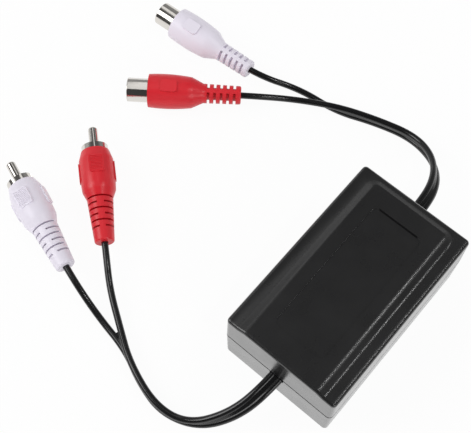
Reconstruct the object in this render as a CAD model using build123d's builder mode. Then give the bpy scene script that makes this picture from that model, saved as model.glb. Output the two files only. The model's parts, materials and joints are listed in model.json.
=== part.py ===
from build123d import *

import os
from math import cos, hypot, pi, radians, sin, tan

# A phono ground loop isolator: a two-shell box with two audio transformers inside,
# a twin lead with two male plugs at one end and a twin lead with two female jacks at the other.
# The origin is the bottom centre of the box, +X runs along it towards the jack end, +Z is up.
# All sizes are in millimetres, and the box stands on z = 0.

# Box
case_length = 66.4
case_width = 40.0
case_height = 30.3
case_corner = 1.5
inner_corner = 1.0
seam_height = 16.1
seam_gap = 0.2
wall = 2.0
floor_thickness = 2.0
roof_thickness = 2.0
draft_angle = 0.9
top_edge_radius = 1.0
bottom_edge_radius = 1.2
seam_chamfer = 0.25

# Raised panel on the roof, which runs out at the plug end
panel_rise = 1.1
panel_side_margin = 4.4
panel_side_slope = 2.3
panel_end_margin = 2.0
panel_end_slope = 1.8
panel_foot_corner = 3.4
panel_crest_corner = 1.6
panel_edge_radius = 0.45
panel_foot_radius = 0.5

# Shallow recess in the panel
recess_length = 48.0
recess_width = 17.6
recess_corner = 2.0
recess_depth = 0.2
recess_shift = -0.9

# Tongue of the lower shell, which locates the upper shell
tongue_height = 1.2
tongue_thickness = 0.8
tongue_clearance = 0.12

# Corner bosses and their screws
boss_radius = 3.2
boss_inset_x = 4.4
boss_inset_y = 4.4
screw_radius = 1.25
screw_head_radius = 2.3
screw_head_height = 1.7
screw_length = 16.0
screw_seat_height = 6.0
screw_clearance = 0.12
pilot_clearance = 0.03
pilot_spare = 1.0
drive_slot_width = 0.7
drive_slot_depth = 0.8

# Circuit board and its standoffs
board_end_gap = 6.0
board_side_gap = 4.5
board_thickness = 1.6
board_corner = 1.0
standoff_height = 3.0
standoff_radius = 2.3
standoff_inset_x = 2.9
standoff_inset_y = 2.9
board_screw_radius = 1.0
board_screw_head_radius = 1.9
board_screw_head_height = 1.3
board_screw_length = 4.2

# Transformers, one for each channel, with stacks of E and I plates whose leg is the unit width
transformer_gap = 1.34
transformer_end_space = 5.47
transformer_head_room = 5.6
stack_thickness = 8.0
bobbin_clearance = 0.1
bobbin_wall = 0.6
flange_thickness = 0.7
flange_reach = 3.2
pin_rail_width = 2.4
pin_rail_gap = 0.6
winding_side_gap = 0.7
winding_front = 6.5
winding_clearance = 0.05
tape_thickness = 0.25
bracket_thickness = 0.5
bracket_width = 7.0
bracket_tab_width = 3.0
bracket_tab_reach = 0.8
bracket_clearance = 0.03
terminal_size = 0.5
terminal_edge_gap = 1.8
terminal_reach = 1.4
hole_clearance = 0.2

# Twin lead
cord_diameter = 2.2
cord_pitch = 2.65
cord_clearance = 0.06
notch_clearance = 0.15
notch_flare = 0.8
cord_inner_reach = 5.6
cord_entry = 4.0
cord_straight = 4.0

# Cradle that holds the twin lead inside the end wall, and the tie between them
cradle_gap = 3.0
cradle_thickness = 1.6
cradle_width = 12.0
cradle_drop = 0.3
tie_width = 2.4
tie_thickness = 0.9
tie_head_width = 3.4
tie_head_height = 2.6
tie_tail_height = 3.0
tie_tail_thickness = 0.9

# Bare wires from each lead to the board
wire_diameter = 0.8
wire_pad_inset = 3.0
wire_straight = 2.0
wire_rise = 4.4
signal_pad_shift = 0.15
shield_pad_y = 2.2
wire_tail = 1.0

# Phono plug
plug_boot_length = 15.4
plug_boot_end_radius = 3.2
plug_boot_root_radius = 4.3
plug_body_length = 17.3
plug_body_radius = 5.8
plug_shoulder_length = 2.9
plug_nose_length = 3.2
plug_nose_radius = 4.75
plug_rib_rise = 0.2
plug_rib_length = 6.8
plug_rib_width = 3.4
plug_pad_rise = 0.2
plug_pad_length = 6.4
plug_pad_width = 5.0
pin_radius = 1.59
pin_reach = 7.4
pin_shank_radius = 1.2
pin_shank_show = 0.3
pin_tip_radius = 0.9
collar_radius = 4.42
collar_thickness = 0.3
collar_reach = 2.0
collar_seat = 7.0
collar_slot_width = 0.8
collar_slot_length = 4.6
plug_insulator_length = 2.6
plug_insulator_neck_radius = 2.5
plug_insulator_neck_length = 1.4

# Phono jack
jack_boot_length = 12.9
jack_boot_end_radius = 3.15
jack_boot_root_radius = 3.35
jack_body_length = 18.8
jack_front_radius = 5.7
jack_bulge_radius = 5.95
jack_hip_radius = 5.3
jack_shoulder_length = 4.0
jack_pad_rise = 0.3
jack_pad_length = 5.6
jack_pad_width = 4.2
barrel_radius = 4.1
barrel_thickness = 0.6
barrel_reach = 7.3
barrel_seat = 5.0
barrel_root_radius = 3.9
barrel_root_show = 0.25
barrel_rim_radius = 0.25
jack_insulator_recess = 0.7
contact_thickness = 0.45
contact_bore_radius = 1.65
contact_length = 10.6
contact_mouth_wall = 0.6
contact_mouth_clearance = 0.1

# Shared by both connectors
boot_core_radius = 2.1
boot_end_rounding = 0.6
shoulder_rounding = 2.5
pad_corner = 1.0
mould_clearance = 0.03
plug_slot_pitch = 2.08
plug_slot_width = 0.6
plug_slot_start = 11.2
plug_slot_span = 148.0
plug_slot_rows = 6
jack_slot_pitch = 2.24
jack_slot_width = 0.95
jack_slot_start = 11.2
jack_slot_span = 156.0
jack_slot_rows = 5

# Where each connector lies: the end of its boot, with X from its own end of the box, the way
# that it points, in degrees from +X, and how far it is rolled about its axis
white_plug_spot = (-13.8, 74.6)
white_plug_heading = 70.3
white_plug_roll = -18.0
red_plug_spot = (0.2, 70.9)
red_plug_heading = 49.0
red_plug_roll = 4.0
white_jack_spot = (13.6, 77.2)
white_jack_heading = 93.4
white_jack_roll = -11.0
red_jack_spot = (3.8, 72.9)
red_jack_heading = 127.2
red_jack_roll = -11.0

# Derived places
rim_height = case_height - panel_rise
ceiling_height = rim_height - roof_thickness
cord_height = seam_height - cord_diameter / 2 - notch_clearance
twin_width = cord_pitch + cord_diameter
inner_length = case_length - 2 * wall
inner_width = case_width - 2 * wall
board_length = inner_length - 2 * board_end_gap
board_width = inner_width - 2 * board_side_gap
boss_spacing_x = case_length - 2 * boss_inset_x
boss_spacing_y = case_width - 2 * boss_inset_y
board_bottom = floor_thickness + standoff_height
board_top = board_bottom + board_thickness
standoff_spacing_x = board_length - 2 * standoff_inset_x
standoff_spacing_y = board_width - 2 * standoff_inset_y
core_side = bracket_clearance + bracket_thickness
lamination_unit = (board_length - 2 * transformer_end_space - transformer_gap - 4 * core_side) / 12
window_height = ceiling_height - transformer_head_room - board_top - 2 * lamination_unit
transformer_offset = 3 * lamination_unit + core_side + transformer_gap / 2
winding_side = 2 * lamination_unit - winding_side_gap
terminal_spacing = 2 * lamination_unit - 2 * bobbin_clearance - terminal_edge_gap
terminal_row_y = stack_thickness / 2 + flange_reach - pin_rail_width / 2
bracket_leg_x = 3 * lamination_unit + bracket_clearance + bracket_thickness / 2
wire_pad_x = board_length / 2 - wire_pad_inset
board_screw_side = standoff_spacing_y / 2 - board_screw_head_radius
signal_pad_y = (shield_pad_y + board_screw_side) / 2 + signal_pad_shift
cord_inner_end = inner_length / 2 - cord_inner_reach
lead_exit = case_length / 2
jack_pad_tilt = radians(max(abs(white_jack_roll), abs(red_jack_roll)))
jack_pad_reach = jack_bulge_radius + jack_pad_rise
connector_height = jack_pad_reach * cos(jack_pad_tilt) + jack_pad_width / 2 * sin(jack_pad_tilt)
floor_cord_z = cord_diameter / 2
upper_cord_z = floor_cord_z + cord_pitch

# Routes of the four leads, chosen by hand: out of the box, down, and along the floor
# with the red lead lying on the white one until the two part
white_plug_route = [
    (-cord_inner_end, -cord_pitch / 2, cord_height),
    (-lead_exit - 4.3, -cord_pitch / 2, cord_height),
    (-lead_exit - 15.3, 1.9, 8.2),
    (-lead_exit - 24.2, 9.6, 1.9),
    (-lead_exit - 28.2, 21.3, floor_cord_z),
    (-lead_exit - 25.5, 32.8, floor_cord_z),
    (-lead_exit - 20.7, 43.0, floor_cord_z),
    (-lead_exit - 18.3, 57.3, 1.4),
]
red_plug_route = [
    (-cord_inner_end, cord_pitch / 2, cord_height),
    (-lead_exit - 4.3, cord_pitch / 2, cord_height),
    (-lead_exit - 16.0, 4.4, 9.3),
    (-lead_exit - 25.8, 12.5, upper_cord_z),
    (-lead_exit - 28.1, 23.9, upper_cord_z),
    (-lead_exit - 23.3, 38.6, 4.0),
    (-lead_exit - 16.5, 49.3, 2.6),
    (-lead_exit - 9.7, 59.8, 3.1),
]
white_jack_route = [
    (cord_inner_end, -cord_pitch / 2, cord_height),
    (lead_exit + 4.8, -cord_pitch / 2, cord_height),
    (lead_exit + 17.0, 0.6, 11.5),
    (lead_exit + 27.1, 7.4, 4.6),
    (lead_exit + 31.5, 19.4, floor_cord_z),
    (lead_exit + 28.1, 33.0, floor_cord_z),
    (lead_exit + 22.9, 45.8, floor_cord_z),
    (lead_exit + 21.6, 60.7, 1.3),
]
red_jack_route = [
    (cord_inner_end, cord_pitch / 2, cord_height),
    (lead_exit + 4.8, cord_pitch / 2, cord_height),
    (lead_exit + 16.5, 2.6, 13.3),
    (lead_exit + 27.0, 8.3, 7.3),
    (lead_exit + 31.8, 18.5, upper_cord_z),
    (lead_exit + 28.1, 32.5, 4.0),
    (lead_exit + 23.4, 45.9, 3.7),
    (lead_exit + 16.4, 59.5, 2.6),
]

os.makedirs("parts", exist_ok=True)


def finish(piece, name):
    """Label a finished piece and write it."""
    piece.part.label = name
    export_step(piece.part, f"parts/{name}.step")


def connector_plane(end, spot, heading, roll):
    """The plane of a connector: its origin at the boot's end, X along its axis, Z up before its roll."""
    along = (cos(radians(heading)), sin(radians(heading)), 0)
    origin = (end * lead_exit + spot[0], spot[1], connector_height)
    upward = Vector(0, 0, 1).rotate(Axis((0, 0, 0), along), roll)
    return Plane(origin=origin, x_dir=along, z_dir=upward)


def across(place, distance):
    """The plane square to a connector's axis, at a distance from the end of its boot."""
    return Plane(origin=place.origin + place.x_dir * distance, x_dir=place.y_dir, z_dir=place.x_dir)


def outward(place, angle, height=0):
    """The plane that faces away from a connector's axis, turned about it from the top."""
    facing = place.z_dir.rotate(Axis(place.origin, place.x_dir), angle)
    return Plane(origin=place.origin + facing * height, x_dir=place.x_dir, z_dir=facing)


# The space that the roof may fill: a block up to the rim, and the raised panel on it
with BuildPart() as roof_space:
    with BuildSketch(Plane.XY.offset(seam_height)):
        Rectangle(2 * case_length, 2 * case_width)
    extrude(amount=rim_height - seam_height)
    panel_far_foot = case_length / 2 - panel_end_margin
    panel_far_crest = panel_far_foot - panel_end_slope
    panel_near = -0.8 * case_length
    with BuildSketch(Plane.XY.offset(rim_height)):
        with Locations(((panel_far_foot + panel_near) / 2, 0)):
            RectangleRounded(
                panel_far_foot - panel_near, case_width - 2 * panel_side_margin, panel_foot_corner
            )
    with BuildSketch(Plane.XY.offset(case_height)):
        with Locations(((panel_far_crest + panel_near) / 2, 0)):
            RectangleRounded(
                panel_far_crest - panel_near,
                case_width - 2 * (panel_side_margin + panel_side_slope),
                panel_crest_corner,
            )
    loft()
    block_edges = roof_space.edges().filter_by_position(Axis.Z, rim_height - 0.01, rim_height + 0.01)
    foot_edges = block_edges.filter_by(
        lambda edge: abs(edge.center().Y) < case_width / 2 and abs(edge.center().X) < 0.9 * case_length
    )
    fillet(foot_edges, panel_foot_radius)
    fillet(roof_space.faces().sort_by(Axis.Z)[-1].edges(), panel_edge_radius)

with BuildPart() as upper_shell:
    with BuildSketch(Plane.XY.offset(seam_height + seam_gap)):
        RectangleRounded(case_length, case_width, case_corner)
    extrude(amount=case_height - seam_height - seam_gap, taper=draft_angle)
    add(roof_space.part, mode=Mode.INTERSECT)
    rim_edges = upper_shell.edges().filter_by_position(Axis.Z, rim_height - 0.01, rim_height + 0.01)
    outer_edges = rim_edges.filter_by(
        lambda edge: abs(edge.center().Y) > case_width / 2 - panel_side_margin
        or edge.center().X > panel_far_foot + panel_end_margin / 2
    )
    fillet(outer_edges, top_edge_radius)
    # Hollow inside
    with BuildSketch(Plane.XY.offset(seam_height + seam_gap)):
        RectangleRounded(inner_length, inner_width, inner_corner)
    extrude(amount=ceiling_height - seam_height - seam_gap, taper=draft_angle, mode=Mode.SUBTRACT)
    # Bosses that stand on those of the lower shell, with blind pilot holes
    with BuildSketch(Plane.XY.offset(seam_height)):
        with GridLocations(boss_spacing_x, boss_spacing_y, 2, 2):
            Circle(boss_radius)
    extrude(amount=ceiling_height - seam_height + roof_thickness / 2)
    with BuildSketch(Plane.XY.offset(seam_height)):
        with GridLocations(boss_spacing_x, boss_spacing_y, 2, 2):
            Circle(screw_radius + pilot_clearance)
    pilot_depth = screw_seat_height + screw_length + pilot_spare - seam_height
    extrude(amount=pilot_depth, mode=Mode.SUBTRACT)
    # Rebate for the tongue of the lower shell
    with BuildSketch(Plane.XY.offset(seam_height)):
        RectangleRounded(
            inner_length + 2 * (tongue_thickness + tongue_clearance),
            inner_width + 2 * (tongue_thickness + tongue_clearance),
            inner_corner + tongue_thickness + tongue_clearance,
        )
        RectangleRounded(
            inner_length - 2 * tongue_clearance,
            inner_width - 2 * tongue_clearance,
            inner_corner - tongue_clearance,
            mode=Mode.SUBTRACT,
        )
    extrude(amount=tongue_height + tongue_clearance, mode=Mode.SUBTRACT)
    # Recess in the raised panel
    with BuildSketch(Plane.XY.offset(case_height)):
        with Locations((recess_shift, 0)):
            RectangleRounded(recess_length, recess_width, recess_corner)
    extrude(amount=-recess_depth, mode=Mode.SUBTRACT)
finish(upper_shell, "upper_shell")

with BuildPart() as lower_shell:
    with BuildSketch(Plane.XY.offset(seam_height)):
        RectangleRounded(case_length, case_width, case_corner)
    extrude(amount=-seam_height, taper=draft_angle)
    fillet(lower_shell.faces().sort_by(Axis.Z)[0].edges(), bottom_edge_radius)
    chamfer(lower_shell.faces().sort_by(Axis.Z)[-1].edges(), seam_chamfer)
    # Hollow inside
    with BuildSketch(Plane.XY.offset(seam_height)):
        RectangleRounded(inner_length, inner_width, inner_corner)
    extrude(amount=floor_thickness - seam_height, taper=draft_angle, mode=Mode.SUBTRACT)
    # Tongue
    with BuildSketch(Plane.XY.offset(seam_height)):
        RectangleRounded(
            inner_length + 2 * tongue_thickness,
            inner_width + 2 * tongue_thickness,
            inner_corner + tongue_thickness,
        )
        RectangleRounded(inner_length, inner_width, inner_corner, mode=Mode.SUBTRACT)
    extrude(amount=tongue_height)
    # Corner bosses, standoffs for the board, and the two cradles
    with BuildSketch(Plane.XY.offset(floor_thickness / 2)):
        with GridLocations(boss_spacing_x, boss_spacing_y, 2, 2):
            Circle(boss_radius)
    extrude(amount=seam_height - floor_thickness / 2)
    with BuildSketch(Plane.XY.offset(floor_thickness / 2)):
        with GridLocations(standoff_spacing_x, standoff_spacing_y, 2, 2):
            Circle(standoff_radius)
    extrude(amount=board_bottom - floor_thickness / 2)
    cradle_x = inner_length / 2 - cradle_gap - cradle_thickness / 2
    with BuildSketch(Plane.XY.offset(floor_thickness / 2)):
        with GridLocations(2 * cradle_x, 1, 2, 1):
            Rectangle(cradle_thickness, cradle_width)
    extrude(amount=seam_height - cradle_drop - floor_thickness / 2)
    # Notches for the twin leads, through the end walls and the cradles
    notch_bottom = cord_height - cord_diameter / 2 - notch_clearance
    notch_top = seam_height + tongue_height + 1
    notch_radius = cord_diameter / 2 + notch_clearance
    with BuildSketch(Plane.YZ):
        with Locations((0, (notch_bottom + notch_top) / 2)):
            Rectangle(twin_width + 2 * notch_clearance, notch_top - notch_bottom)
        fillet(vertices().group_by(Axis.Z)[0], notch_radius)
    extrude(amount=case_length, both=True, mode=Mode.SUBTRACT)
    # Screw holes: counterbored from below at the corners, blind in the standoffs
    with BuildSketch(Plane.XY):
        with GridLocations(boss_spacing_x, boss_spacing_y, 2, 2):
            Circle(screw_head_radius + screw_clearance)
    extrude(amount=screw_seat_height, mode=Mode.SUBTRACT)
    with BuildSketch(Plane.XY):
        with GridLocations(boss_spacing_x, boss_spacing_y, 2, 2):
            Circle(screw_radius + screw_clearance)
    extrude(amount=seam_height + tongue_height, mode=Mode.SUBTRACT)
    with BuildSketch(Plane.XY.offset(board_bottom)):
        with GridLocations(standoff_spacing_x, standoff_spacing_y, 2, 2):
            Circle(board_screw_radius + pilot_clearance)
    extrude(amount=-standoff_height, mode=Mode.SUBTRACT)
finish(lower_shell, "lower_shell")

with BuildPart() as case_screws:
    with BuildSketch(Plane.XY.offset(screw_seat_height)):
        with GridLocations(boss_spacing_x, boss_spacing_y, 2, 2):
            Circle(screw_head_radius)
    extrude(amount=-screw_head_height)
    chamfer(case_screws.faces().group_by(Axis.Z)[0].edges(), screw_head_height / 3)
    with BuildSketch(Plane.XY.offset(screw_seat_height)):
        with GridLocations(boss_spacing_x, boss_spacing_y, 2, 2):
            Circle(screw_radius)
    extrude(amount=screw_length)
    chamfer(case_screws.faces().group_by(Axis.Z)[-1].edges(), screw_radius / 2)
    with BuildSketch(Plane.XY.offset(screw_seat_height - screw_head_height)):
        with GridLocations(boss_spacing_x, boss_spacing_y, 2, 2):
            Rectangle(2 * screw_head_radius, drive_slot_width)
            Rectangle(drive_slot_width, 1.3 * screw_head_radius)
    extrude(amount=drive_slot_depth, mode=Mode.SUBTRACT)
finish(case_screws, "case_screws")

terminal_columns = [-terminal_spacing, 0, terminal_spacing]
transformer_centres = {"white": -transformer_offset, "red": transformer_offset}
terminal_spots = [
    (centre + column, side * terminal_row_y)
    for centre in transformer_centres.values()
    for column in terminal_columns
    for side in (-1, 1)
]
tab_spots = [
    (centre + side * bracket_leg_x, 0) for centre in transformer_centres.values() for side in (-1, 1)
]
wire_spots = [
    (end * wire_pad_x, channel * pad)
    for end in (-1, 1)
    for channel in (-1, 1)
    for pad in (signal_pad_y, shield_pad_y)
]

with BuildPart() as circuit_board:
    with BuildSketch(Plane.XY.offset(board_bottom)):
        RectangleRounded(board_length, board_width, board_corner)
        with GridLocations(standoff_spacing_x, standoff_spacing_y, 2, 2):
            Circle(board_screw_radius + hole_clearance, mode=Mode.SUBTRACT)
        with Locations(*terminal_spots):
            Circle((terminal_size + hole_clearance) * 0.75, mode=Mode.SUBTRACT)
        with Locations(*tab_spots):
            Rectangle(
                bracket_thickness + hole_clearance, bracket_tab_width + hole_clearance, mode=Mode.SUBTRACT
            )
        with Locations(*wire_spots):
            Circle(wire_diameter / 2 + hole_clearance / 2, mode=Mode.SUBTRACT)
    extrude(amount=board_thickness)
finish(circuit_board, "circuit_board")

with BuildPart() as board_screws:
    with BuildSketch(Plane.XY.offset(board_top)):
        with GridLocations(standoff_spacing_x, standoff_spacing_y, 2, 2):
            Circle(board_screw_head_radius)
    extrude(amount=board_screw_head_height)
    fillet(board_screws.faces().group_by(Axis.Z)[-1].edges(), board_screw_head_height / 2)
    with BuildSketch(Plane.XY.offset(board_top)):
        with GridLocations(standoff_spacing_x, standoff_spacing_y, 2, 2):
            Circle(board_screw_radius)
    extrude(amount=-board_screw_length)
finish(board_screws, "board_screws")


def make_transformer(channel, centre):
    """One audio transformer that stands on the board, its coil's axis upright."""
    unit = lamination_unit
    window_bottom = board_top + unit
    window_top = window_bottom + window_height
    core_top = window_top + unit
    front_plane = Plane.XZ.offset(-stack_thickness / 2)

    with BuildPart() as e_stack:
        with BuildSketch(front_plane):
            with Locations((centre, (board_top + window_top) / 2)):
                Rectangle(6 * unit, window_top - board_top)
            window_middle = (window_bottom + window_top) / 2
            with Locations((centre - 1.5 * unit, window_middle), (centre + 1.5 * unit, window_middle)):
                Rectangle(unit, window_height, mode=Mode.SUBTRACT)
        extrude(amount=stack_thickness)
    finish(e_stack, f"{channel}_e_laminations")

    with BuildPart() as i_stack:
        with BuildSketch(front_plane):
            with Locations((centre, core_top - unit / 2)):
                Rectangle(6 * unit, unit)
        extrude(amount=stack_thickness)
    finish(i_stack, f"{channel}_i_laminations")

    tube_inside_x = 2 * (unit + bobbin_clearance)
    tube_inside_y = stack_thickness + 2 * bobbin_clearance
    bobbin_bottom = window_bottom + bobbin_clearance
    bobbin_height = window_top - bobbin_clearance - bobbin_bottom
    flange_x = 2 * (2 * unit - 2 * bobbin_clearance)
    flange_y = stack_thickness + 2 * flange_reach
    with BuildPart() as bobbin:
        for level in (bobbin_bottom, bobbin_bottom + bobbin_height - flange_thickness):
            with BuildSketch(Plane.XY.offset(level)):
                with Locations((centre, 0)):
                    RectangleRounded(flange_x, flange_y, 3 * bobbin_wall / 2)
            extrude(amount=flange_thickness)
        with BuildSketch(Plane.XY.offset(bobbin_bottom)):
            with Locations((centre, 0)):
                Rectangle(tube_inside_x + 2 * bobbin_wall, tube_inside_y + 2 * bobbin_wall)
        extrude(amount=bobbin_height)
        with BuildSketch(Plane.XY.offset(bobbin_bottom + flange_thickness)):
            with Locations((centre, terminal_row_y), (centre, -terminal_row_y)):
                Rectangle(flange_x, pin_rail_width)
        extrude(amount=board_top + pin_rail_gap - bobbin_bottom - flange_thickness)
        with BuildSketch(Plane.XY.offset(bobbin_bottom)):
            with Locations((centre, 0)):
                Rectangle(tube_inside_x, tube_inside_y)
        extrude(amount=bobbin_height, mode=Mode.SUBTRACT)
    finish(bobbin, f"{channel}_bobbin")

    winding_bottom = bobbin_bottom + flange_thickness + winding_clearance
    winding_height = bobbin_height - 2 * (flange_thickness + winding_clearance)
    with BuildPart() as winding:
        with BuildSketch(Plane.XY.offset(winding_bottom)):
            with Locations((centre, 0)):
                RectangleRounded(2 * winding_side, 2 * winding_front, unit / 2)
                Rectangle(
                    tube_inside_x + 2 * (bobbin_wall + winding_clearance),
                    tube_inside_y + 2 * (bobbin_wall + winding_clearance),
                    mode=Mode.SUBTRACT,
                )
        extrude(amount=winding_height)
    finish(winding, f"{channel}_winding")

    with BuildPart() as tape:
        with BuildSketch(Plane.XY.offset(winding_bottom)):
            with Locations((centre, 0)):
                RectangleRounded(
                    2 * (winding_side + winding_clearance + tape_thickness),
                    2 * (winding_front + winding_clearance + tape_thickness),
                    unit / 2 + winding_clearance + tape_thickness,
                )
                RectangleRounded(
                    2 * (winding_side + winding_clearance),
                    2 * (winding_front + winding_clearance),
                    unit / 2 + winding_clearance,
                    mode=Mode.SUBTRACT,
                )
        extrude(amount=winding_height)
    finish(tape, f"{channel}_winding_tape")

    strap_outside = 6 * unit + 2 * (bracket_clearance + bracket_thickness)
    strap_top = core_top + bracket_clearance + bracket_thickness
    tab_end = board_bottom - bracket_tab_reach
    with BuildPart() as bracket:
        with BuildSketch(Plane.XZ.offset(-bracket_width / 2)):
            with Locations((centre, (strap_top + tab_end) / 2)):
                Rectangle(strap_outside, strap_top - tab_end)
            with Locations((centre, (core_top + bracket_clearance + tab_end) / 2)):
                Rectangle(
                    6 * unit + 2 * bracket_clearance,
                    core_top + bracket_clearance - tab_end,
                    mode=Mode.SUBTRACT,
                )
        extrude(amount=bracket_width)
        # The legs end in narrow tabs that pass through the board
        tab_cut = (bracket_width - bracket_tab_width) / 2
        with BuildSketch(Plane.XY.offset(tab_end)):
            with Locations(
                (centre, (bracket_tab_width + tab_cut) / 2), (centre, -(bracket_tab_width + tab_cut) / 2)
            ):
                Rectangle(2 * strap_outside, tab_cut)
        extrude(amount=board_top + bracket_clearance - tab_end, mode=Mode.SUBTRACT)
        fillet(
            bracket.faces().sort_by(Axis.Z)[-1].edges().filter_by(Axis.Y), bracket_thickness
        )
    finish(bracket, f"{channel}_core_bracket")

    with BuildPart() as terminals:
        with BuildSketch(Plane.XY.offset(board_top + pin_rail_gap)):
            for side in (-1, 1):
                with Locations(*[(centre + column, side * terminal_row_y) for column in terminal_columns]):
                    Rectangle(terminal_size, terminal_size)
        extrude(amount=-(pin_rail_gap + board_thickness + terminal_reach))
    finish(terminals, f"{channel}_terminals")


for channel, centre in transformer_centres.items():
    make_transformer(channel, centre)


def make_tie(end, name):
    """The tie round a twin lead, between the end wall and the cradle."""
    tie_x = end * (inner_length / 2 - cradle_gap / 2)
    hole_height = cord_diameter + 2 * cord_clearance
    hole_width = twin_width + 2 * cord_clearance
    with BuildPart() as tie:
        with BuildSketch(Plane.YZ.offset(tie_x - tie_width / 2)):
            with Locations((0, cord_height)):
                RectangleRounded(
                    hole_width + 2 * tie_thickness,
                    hole_height + 2 * tie_thickness,
                    hole_height / 2 + tie_thickness - 0.01,
                )
            head_bottom = cord_height + hole_height / 2
            with Locations((0, head_bottom + (tie_thickness + tie_head_height) / 2)):
                Rectangle(tie_head_width, tie_thickness + tie_head_height)
            head_top = head_bottom + tie_thickness + tie_head_height
            with Locations((0, head_top + tie_tail_height / 2)):
                Rectangle(tie_tail_thickness, tie_tail_height)
            with Locations((0, cord_height)):
                RectangleRounded(hole_width, hole_height, hole_height / 2 - 0.01, mode=Mode.SUBTRACT)
        extrude(amount=tie_width)
    finish(tie, name)


make_tie(-1, "plug_end_tie")
make_tie(1, "jack_end_tie")


def corner_radii(points, share=0.45):
    """The largest tangent arc that the two runs at each inner point allow."""
    radii = []
    for before, corner, after in zip(points, points[1:], points[2:]):
        first = Vector(corner) - Vector(before)
        second = Vector(after) - Vector(corner)
        half_turn = radians(first.get_angle(second) / 2)
        radii.append(share * min(first.length, second.length) / tan(half_turn))
    return radii


def make_tube(points, diameter, name):
    """A round tube along straight runs joined by tangent arcs."""
    radii = corner_radii(points)
    with BuildPart() as tube:
        with BuildLine() as path:
            FilletPolyline(*points, radius=radii)
        start = path.wires()[0]
        with BuildSketch(Plane(origin=start @ 0, z_dir=start % 0)):
            Circle(diameter / 2)
        sweep(path=path.wires()[0])
    length = path.wires()[0].length
    section = pi * diameter**2 / 4
    print(f"{name}: length {length:.1f}, least radius {min(radii):.1f},", end=" ")
    print(f"volume over section times length {tube.part.volume / section / length:.5f}")
    return tube


def make_wires(end, channel, name):
    """The signal wire and the shield of one lead, from the jacket's end down through the board."""
    tubes = []
    for side, pad in ((1, signal_pad_y), (-1, shield_pad_y)):
        start_y = channel * (cord_pitch / 2 + side * 0.6 * wire_diameter)
        first = (end * cord_inner_end, start_y, cord_height)
        bend = (end * (cord_inner_end - wire_straight), start_y, cord_height)
        drop = (end * wire_pad_x, channel * pad, board_top + wire_rise)
        last = (end * wire_pad_x, channel * pad, board_bottom - wire_tail)
        tubes.append(make_tube([first, bend, drop, last], wire_diameter, name).part)
    with BuildPart() as wires:
        add(tubes)
    finish(wires, name)


make_wires(-1, -1, "white_plug_end_wires")
make_wires(-1, 1, "red_plug_end_wires")
make_wires(1, -1, "white_jack_end_wires")
make_wires(1, 1, "red_jack_end_wires")


def make_lead(route, place, name):
    """One lead: its route from the box, and on into the boot along the connector's axis."""
    before_boot = place.origin - place.x_dir * cord_straight
    boot_end = place.origin + place.x_dir * cord_entry
    lead = make_tube([*route, tuple(before_boot), tuple(boot_end)], cord_diameter, name)
    finish(lead, name)


white_plug_place = connector_plane(-1, white_plug_spot, white_plug_heading, white_plug_roll)
red_plug_place = connector_plane(-1, red_plug_spot, red_plug_heading, red_plug_roll)
white_jack_place = connector_plane(1, white_jack_spot, white_jack_heading, white_jack_roll)
red_jack_place = connector_plane(1, red_jack_spot, red_jack_heading, red_jack_roll)
make_lead(white_plug_route, white_plug_place, "white_plug_lead")
make_lead(red_plug_route, red_plug_place, "red_plug_lead")
make_lead(white_jack_route, white_jack_place, "white_jack_lead")
make_lead(red_jack_route, red_jack_place, "red_jack_lead")


def cut_windows(place, distance, width, span, angles):
    """Cut windows of a strain relief boot down to its core, at one distance from its end."""
    reach = 2 * plug_boot_root_radius
    side = radians(span / 2)
    with BuildSketch(across(place, distance - width / 2)) as windows:
        for angle in angles:
            Polygon(
                (0, 0),
                (reach * cos(side), -reach * sin(side)),
                (reach, 0),
                (reach * cos(side), reach * sin(side)),
                rotation=angle,
                align=None,
            )
        Circle(boot_core_radius, mode=Mode.SUBTRACT)
    extrude(windows.sketch, amount=width, mode=Mode.SUBTRACT)


def add_pads(place, distance, length, width, body_radius, rise, angles):
    """Raised pads on a connector's body, each turned about its axis from the top."""
    foot = body_radius - 1.5
    for angle in angles:
        with BuildSketch(outward(place, angle, foot)) as pad:
            with Locations((distance, 0)):
                RectangleRounded(length, width, pad_corner)
        extrude(pad.sketch, amount=body_radius + rise - foot)


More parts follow.
